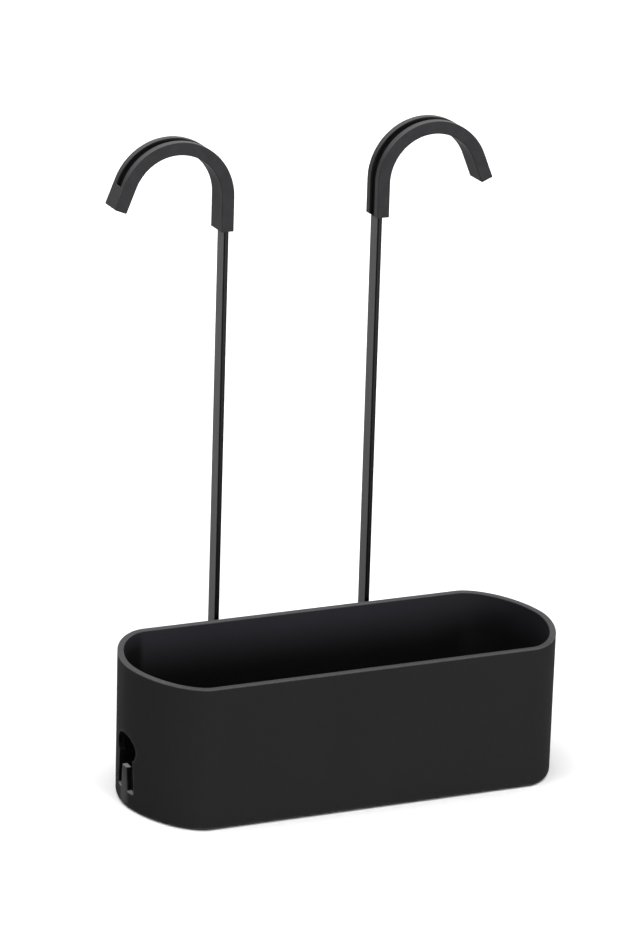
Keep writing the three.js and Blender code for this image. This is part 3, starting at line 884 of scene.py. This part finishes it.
class Hook:
    """The line that a hanger's bar follows, and places beside it."""

    def __init__(self, hand):
        joint = next(j for j in frame["joints"] if j["child"] == f"hanger_{hand}")
        self.side = SIDES[hand]
        self.axis = Vector(joint["pos_m"])
        self.radius = THROAT_RADIUS + SLEEVE_THICKNESS - SLEEVE_LIP - FIT - BAR_THICKNESS / 2
        self.sweep = math.pi - TIP_ANGLE
        self.arc_length = self.radius * self.sweep

    def length_at(self, z):
        """Distance along the line to a height on the straight leg; 0 is where the bend starts."""
        return z - SPRING_Z

    def at(self, length):
        """The line's point and its normal away from the throat, both as (x, z)."""
        bend = min(max(length / self.radius, 0.0), self.sweep)
        normal = Vector((-self.side * math.cos(bend), math.sin(bend)))
        point = Vector((self.side * self.radius, SPRING_Z)) + normal * self.radius
        rest = length if length < 0 else max(0.0, length - self.arc_length)
        tangent = Vector((self.side * math.sin(bend), math.cos(bend)))
        return point + tangent * rest, normal

    def away(self, point):
        """How far a point stands from the line, on the side away from the throat."""
        x, z = self.side * (point.x - self.axis.x) - self.radius, point.z - SPRING_Z
        bend = math.atan2(z, -x)
        if x < 0 and z < 0:
            bend = 0.0
        bend = self.sweep if x > 0 and z < 0 else min(bend, self.sweep)
        return math.sin(bend) * z - math.cos(bend) * x - self.radius

    def ring(self, length, section):
        """Places a section's (away, y) points across the line."""
        point, normal = self.at(length)
        ring = []
        for away, y in section:
            flat = point + normal * away
            ring.append(Vector((self.axis.x + flat.x, self.axis.y + y, flat.y)))
        return ring

    def stations(self, start, end):
        """Lengths along the line: close together on the bend, far apart on the straights."""
        bend = [self.arc_length * k / HOOK_STEPS for k in range(HOOK_STEPS + 1)]
        return [length for length in [start, *bend, end] if start <= length <= end]


def make_bar(hand):
    """Flat bar with rolled edges, bent flatwise over the hook."""
    hook = Hook(hand)
    start = hook.length_at(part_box(f"hanger_bar_{hand}")[0].z)
    end = hook.arc_length + TIP_LENGTH - SLEEVE_END_WALL - FIT
    section = rounded_rectangle(BAR_THICKNESS / 2, BAR_WIDTH / 2, BAR_EDGE)
    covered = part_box(f"hook_sleeve_{hand}")[0].z + MOUTH_DEPTH
    lengths = [start + END_EDGE] + [hook.length_at(z) for z in BAR_ROWS_Z]
    lengths += hook.stations(hook.length_at(covered), end - END_EDGE)
    rings = [hook.ring(length, section) for length in lengths]
    caps = [hook.ring(length, inset_loop(section, END_EDGE)) for length in (start, end)]
    bar = shade(loft(f"bar_{hand}", [caps[0], *rings, caps[1]]))
    # faces inside the sleeve, past its mouth, take the painted shade material
    return bar, [polygon.center.z > covered for polygon in bar.data.polygons]


def make_sleeve(hand):
    """Slotted sleeve on the hook. The slot is open at the leg's end and closed before the tip."""
    hook = Hook(hand)
    half = SLOT_WIDTH / 2
    reach = BAR_THICKNESS / 2 + FIT
    away = reach + SLEEVE_LIP
    towards = away - SLEEVE_THICKNESS
    channel_half = BAR_WIDTH / 2 + FIT
    start = hook.length_at(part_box(f"hook_sleeve_{hand}")[0].z)
    slot_turn = hook.arc_length + SLOT_TIP_LENGTH - SLOT_CORNER
    end = hook.arc_length + TIP_LENGTH
    verts, faces = [], []

    def add(length, section):
        return added(verts, hook.ring(length, section))

    # outside of the section, from the slot's edge at +y round to its edge at -y
    right = fillet_path([
        (away, half + SLOT_EDGE, 0),
        (away, SLEEVE_HALF_WIDTH, SLEEVE_EDGE),
        (towards, SLEEVE_HALF_WIDTH, SLEEVE_EDGE),
        (towards, 0, 0),
    ], 6)
    outside = right + [Vector((p.x, -p.y)) for p in reversed(right[:-1])]

    # the slot's rounded edge, as (distance back from the slot wall, depth below the face), and the channel
    rounding = [(SLOT_EDGE * (1 - sin), SLOT_EDGE * (1 - cos)) for sin, cos in quarter(4)]
    lip = [Vector((away - depth, half + back)) for back, depth in rounding[1:]]
    channel = [Vector(p) for p in (
        (reach, half), (reach, channel_half), (-reach, channel_half),
        (-reach, -channel_half), (reach, -channel_half), (reach, -half),
    )]
    closed = outside + [Vector((p.x, -p.y)) for p in lip] + channel[::-1] + lip[::-1]

    # slotted length, with its mouth at the leg's end rounded over
    rings = [add(start + END_EDGE * (1 - cos), inset_loop(closed, END_EDGE * (1 - sin)))
             for sin, cos in quarter(3)]
    rings += [add(length, closed) for length in hook.stations(start + END_EDGE, slot_turn)[1:]]
    faces.append(tuple(rings[0]))
    strips(faces, rings)

    # closed end of the slot, then the blind end of the channel
    def slot_end(back, depth):
        """The slot's end as a line from its +y wall round to its -y wall, set back and sunk."""
        radius = SLOT_CORNER + back
        bend = [(slot_turn + radius * sin, half - SLOT_CORNER + radius * cos) for sin, cos in quarter(5)]
        path = bend + [(u, -y) for u, y in reversed(bend)]
        return added(verts, [hook.ring(u, [Vector((away - depth, y))])[0] for u, y in path])

    turns = [slot_end(back, depth) for back, depth in rounding + [(0, SLEEVE_LIP)]]
    strips(faces, turns, closed=False)
    blind = [add(length, channel) for length in (slot_turn, end - SLEEVE_END_WALL)]
    strips(faces, blind, closed=False)
    faces += [(*turns[-1], blind[1][-1], blind[1][0]), tuple(blind[1])]

    # outside from there on, and the rounded tip
    skin = [add(length, outside) for length in (slot_turn, end - SLEEVE_TIP_EDGE)]
    strips(faces, skin, closed=False)
    faces.append((*turns[0], skin[1][-1], skin[1][0]))
    tips = [add(end - SLEEVE_TIP_EDGE * (1 - sin), inset_loop(outside, SLEEVE_TIP_EDGE * (1 - cos)))
            for sin, cos in quarter(5)[1:]]
    strips(faces, skin[1:] + tips)
    faces.append(tuple(tips[-1]))
    sleeve = shade(new_object(f"sleeve_{hand}", verts, faces))

    def within(polygon):
        """Whether a face lies in the slot or the channel, rather than on the sleeve's outside. These faces
        take the painted shade material.
        """
        depth = away - hook.away(polygon.center)
        across = abs(polygon.center.y - hook.axis.y)
        return SLOT_EDGE * 1.05 < depth < SLEEVE_THICKNESS - 1 * MM and across < channel_half + 0.1 * MM

    return sleeve, [within(polygon) and polygon.normal.z > -0.9 for polygon in sleeve.data.polygons]


# ---- swivels

def slab(name, loop, low, high, edge, place, steps=4):
    """A plate of a closed outline between two heights, with rounded rims."""
    rings = []
    for level, turn, bend in ((low, 1, quarter(steps)), (high, -1, quarter(steps)[::-1])):
        for sin, cos in bend:
            ring = inset_loop(loop, edge * (1 - sin))
            rings.append([place @ Vector((*p, level + turn * edge * (1 - cos))) for p in ring])
    return loft(name, rings)


def lying(x, y, z):
    """A place for a lathe or slab whose height points to the rear."""
    return Matrix.Translation((x, y, z)) @ Matrix.Rotation(-math.pi / 2, 4, "X")


def make_bracket(hand):
    """Cast bracket: a wall plate, two bored eyes, four tapped bosses and the swivel's stop."""
    axis = Hook(hand).axis
    low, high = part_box(f"bracket_{hand}")
    here = Matrix.Translation((axis.x, axis.y, 0))
    plate_back = low.y + PLATE_THICKNESS
    outline = rounded_rectangle(PLATE_WIDTH / 2, (PLATE_TOP_Z - PLATE_BOTTOM_Z) / 2, PLATE_CORNER, 10)
    wall_place = lying(axis.x, low.y, (PLATE_BOTTOM_Z + PLATE_TOP_Z) / 2)
    body = slab("bracket", outline, 0, PLATE_THICKNESS, CAST_EDGE, wall_place)
    root = plate_back - axis.y - PLATE_THICKNESS / 2
    eye = arc((0, 0), EYE_RADIUS, 0, 180, 36) + [Vector((-EYE_RADIUS, root)), Vector((EYE_RADIUS, root))]
    for bottom in (LOWER_EYE_Z, UPPER_EYE_Z):
        boolean(body, slab("lug", eye, bottom, bottom + EYE_HEIGHT, CAST_EDGE, here), "UNION")
    screws = [(axis.x + x, z) for x in (-SCREW_SPREAD_X, SCREW_SPREAD_X) for z in SCREW_ROWS_Z]
    profile = [(BOSS_RADIUS, -PLATE_THICKNESS / 2), *round_edge(BOSS_RADIUS, BOSS_HEIGHT, BOSS_EDGE, 1)]
    for x, z in screws:
        boolean(body, lathe("boss", profile, lying(x, plate_back, z), SMALL_ROUND), "UNION")
    stop = rounded_rectangle(STOP_WIDTH / 2, STOP_DEPTH / 2, STOP_CORNER, 3)
    place = Matrix.Translation((axis.x, high.y - STOP_DEPTH / 2, 0))
    boolean(body, slab("stop", stop, UPPER_EYE_Z + EYE_HEIGHT - PAST, high.z, STOP_EDGE, place), "UNION")
    bore = SPINDLE_RADIUS + FIT
    wide = bore + BORE_FLARE
    profile = []
    for bottom in (LOWER_EYE_Z, UPPER_EYE_Z):
        top = bottom + EYE_HEIGHT
        profile += [(wide, bottom - BORE_FLARE), (wide, bottom), (bore, bottom + BORE_FLARE)]
        profile += [(bore, top - BORE_FLARE), (wide, top), (wide, top + BORE_FLARE)]
    drill(body, profile, here, LARGE_ROUND)
    hole, depth = SCREW_RADIUS + FIT, PLATE_THICKNESS + BOSS_HEIGHT
    wide = hole + HOLE_FLARE
    profile = [(hole, -PAST), (hole, depth - 0.4 * MM), (wide, depth + 0.1 * MM), (wide, depth + PAST)]
    for x, z in screws:
        drill(body, profile, lying(x, low.y, z))
    return shade(body, sharp_angle=35)


def make_spindle(hand):
    """Turned spindle with a stop collar, slotted from the top for the bar and cross drilled for its pin."""
    axis = Hook(hand).axis
    low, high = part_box(f"spindle_{hand}")
    here = Matrix.Translation((axis.x, axis.y, 0))
    profile = [(SPINDLE_RADIUS - SPINDLE_CHAMFER, low.z), (SPINDLE_RADIUS, low.z + SPINDLE_CHAMFER)]
    profile += [(SPINDLE_RADIUS, COLLAR_Z), (COLLAR_RADIUS - COLLAR_LOWER_EDGE, COLLAR_Z)]
    profile += round_edge(COLLAR_RADIUS, COLLAR_Z, COLLAR_LOWER_EDGE, -1)[1:]
    profile += round_edge(COLLAR_RADIUS, high.z, COLLAR_TOP_EDGE, 1)
    body = lathe("spindle", profile, here, LARGE_ROUND)
    play = math.degrees(math.asin(STOP_WIDTH / 2 / COLLAR_CUT_RADIUS)) + STOP_PLAY
    first, last = {"right": (-play, 90 + play), "left": (90 - play, 180 + play)}[hand]
    cut = arc((0, 0), COLLAR_RADIUS + PAST, first, last, 30)
    cut += arc((0, 0), COLLAR_CUT_RADIUS, last, first, 30)
    boolean(body, slab("cut", cut, COLLAR_Z - PAST, high.z + PAST, SHARP, here, 1), "DIFFERENCE")
    pocket = rounded_rectangle(BAR_THICKNESS / 2 + FIT, BAR_WIDTH / 2 + FIT, POCKET_CORNER, 3)
    pocket_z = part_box(f"hanger_bar_{hand}")[0].z - FIT
    boolean(body, slab("pocket", pocket, pocket_z, high.z + PAST, SHARP, here, 1), "DIFFERENCE")
    across = Matrix.Translation(axis) @ Matrix.Rotation(math.pi / 2, 4, "Y")
    hole, reach = PIN_RADIUS + FIT, SPINDLE_RADIUS + PAST
    drill(body, [(hole, -reach), (hole, reach)], across)
    tapping = RETAINER_RADIUS + FIT
    drill(body, [(tapping, low.z - PAST), (tapping, low.z + RETAINER_LENGTH)], here, SMALL_ROUND)
    return shade(body, sharp_angle=35)


def make_pin(name):
    low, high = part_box(name)
    half = (high.x - low.x) / 2
    radius = (high.z - low.z) / 2
    place = Matrix.Translation((low + high) / 2) @ Matrix.Rotation(math.pi / 2, 4, "Y")
    profile = round_edge(radius, -half, PIN_EDGE, -1) + round_edge(radius, half, PIN_EDGE, 1)
    return shade(lathe("pin", profile, place, SMALL_ROUND))


def make_washer(name, inner):
    """Flat ring with rounded rims."""
    low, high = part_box(name)
    middle = (low + high) / 2
    outer = (high.x - low.x) / 2
    profile = round_edge(outer, low.z, WASHER_EDGE, -1) + round_edge(outer, high.z, WASHER_EDGE, 1)
    bore = round_edge(inner, low.z, WASHER_EDGE, -1) + round_edge(inner, high.z, WASHER_EDGE, 1)
    profile += [(2 * inner - radius, z) for radius, z in reversed(bore)]
    angles = [2 * math.pi * k / LARGE_ROUND for k in range(LARGE_ROUND)]
    verts, faces, rows = [], [], []
    for radius, z in profile:
        ring = [(middle.x + radius * math.cos(a), middle.y + radius * math.sin(a), z) for a in angles]
        rows.append(added(verts, ring))
    strips(faces, rows + rows[:1])
    return shade(new_object("washer", verts, faces))


def make_screw(radius, length, head_radius, head_height, pitch, place):
    """Button head screw with a hexagon socket and a cut thread. Its head's underside is at height 0."""
    socket, depth = 0.72 * radius, 0.6 * head_height
    profile = [(socket * 0.97, depth - head_height, hexagon), (socket, 0.12 * MM - head_height, hexagon)]
    profile.append((socket * 1.04, -head_height))

    # domed head, from its flat middle to its rim, then the neck
    flat, rim, dome = 0.6 * head_radius, 0.16 * head_height, 0.84 * head_height
    profile += [(flat + (head_radius - flat) * sin, -rim - dome * cos) for sin, cos in quarter(8)]
    profile += [(head_radius - 0.12 * MM, 0), (radius + 0.15 * MM, 0), (radius * 0.98, 0.2 * MM)]

    # thread, five rings to each turn
    def thread(height):
        def shape(angle):
            phase = (height / pitch - angle / (2 * math.pi)) % 1
            return 1 - THREAD_DEPTH * min(1, 1.6 * abs(2 * phase - 1))
        return shape

    first, last = 1.2 * pitch, length - 0.6 * pitch
    count = int((last - first) / pitch * 5)
    heights = [first + (last - first) * k / count for k in range(count + 1)]
    profile += [(radius, height, thread(height)) for height in heights]
    profile.append((radius * 0.78, length))
    return shade(lathe("screw", profile, place, SCREW_ROUND), sharp_angle=50)


# ---- camera, light and floor

def place_camera():
    cos, sin = math.cos(AZIMUTH), math.sin(AZIMUTH)
    forward = Vector((sin * math.cos(ELEVATION), cos * math.cos(ELEVATION), -math.sin(ELEVATION)))
    level = Vector((cos, -sin, 0))
    above = level.cross(forward)
    right = level * math.cos(ROLL) + above * math.sin(ROLL)
    up = above * math.cos(ROLL) - level * math.sin(ROLL)
    data = bpy.data.cameras.new("camera")
    data.sensor_width = SENSOR_WIDTH
    data.lens = FOCAL_LENGTH
    data.clip_end = 100
    camera = link(bpy.data.objects.new("camera", data))
    turned = Matrix((right, up, -forward)).transposed().to_4x4()
    camera.matrix_world = Matrix.Translation(AIM - forward * DISTANCE) @ turned
    bpy.context.scene.camera = camera


def add_light(name, kind, towards, place=(0, 0, 0), **settings):
    """A light at a place that shines along a direction."""
    data = bpy.data.lights.new(name, kind)
    for key, value in settings.items():
        setattr(data, key, value)
    lamp = link(bpy.data.objects.new(name, data))
    lamp.matrix_world = Matrix.Translation(place) @ towards.to_track_quat("-Z", "Y").to_matrix().to_4x4()


def make_room():
    world = bpy.data.worlds.new("studio")
    world.use_nodes = True
    world.node_tree.nodes["Background"].inputs["Color"].default_value = (1, 1, 1, 1)
    world.node_tree.nodes["Background"].inputs["Strength"].default_value = WORLD_LIGHT
    bpy.context.scene.world = world
    for name, (towards, strength, spread) in SUNS.items():
        add_light(name, "SUN", Vector(towards), energy=strength, angle=math.radians(spread))
    place, target, (width, height), power = BACKDROP
    add_light("backdrop", "AREA", Vector(target) - Vector(place), place,
              shape="RECTANGLE", size=width, size_y=height, energy=power)
    bpy.context.scene.view_settings.view_transform = "Standard"

    across = [GROUND_SIZE * (k / GROUND_STEPS - 0.5) for k in range(GROUND_STEPS + 1)]
    verts, faces = [], []
    strips(faces, [added(verts, [(x, y, -GROUND_DROP) for x in across]) for y in across], closed=False)
    mesh = bpy.data.meshes.new("floor")
    mesh.from_pydata(verts, [], faces)
    floor = link(bpy.data.objects.new("floor", mesh))
    floor.data.materials.append(studio_floor())


# ---- the holder

place_camera()
stand_in("bin_shell", *make_bin())
for hand in SIDES:
    stand_in(f"hanger_bar_{hand}", *make_bar(hand))
    stand_in(f"hook_sleeve_{hand}", *make_sleeve(hand))
    stand_in(f"bracket_{hand}", make_bracket(hand))
    stand_in(f"spindle_{hand}", make_spindle(hand))
    stand_in(f"cross_pin_{hand}", make_pin(f"cross_pin_{hand}"))
    for washer, radius in (("friction_washer", SPINDLE_RADIUS), ("lower_washer", RETAINER_RADIUS)):
        stand_in(f"{washer}_{hand}", make_washer(f"{washer}_{hand}", radius + FIT))
    low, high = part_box(f"retaining_screw_{hand}")
    middle = (low + high) / 2
    place = Matrix.Translation((middle.x, middle.y, low.z + RETAINER_HEAD_HEIGHT))
    screw = make_screw(RETAINER_RADIUS, RETAINER_LENGTH, RETAINER_HEAD_RADIUS, RETAINER_HEAD_HEIGHT,
                       RETAINER_PITCH, place)
    stand_in(f"retaining_screw_{hand}", screw)
    for number in range(1, 5):
        low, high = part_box(f"bracket_screw_{hand}_{number}")
        middle = (low + high) / 2
        place = lying(middle.x, low.y + SCREW_HEAD_HEIGHT, middle.z)
        screw = make_screw(SCREW_RADIUS, SCREW_LENGTH, SCREW_HEAD_RADIUS, SCREW_HEAD_HEIGHT,
                           SCREW_PITCH, place)
        stand_in(f"bracket_screw_{hand}_{number}", screw)
make_room()
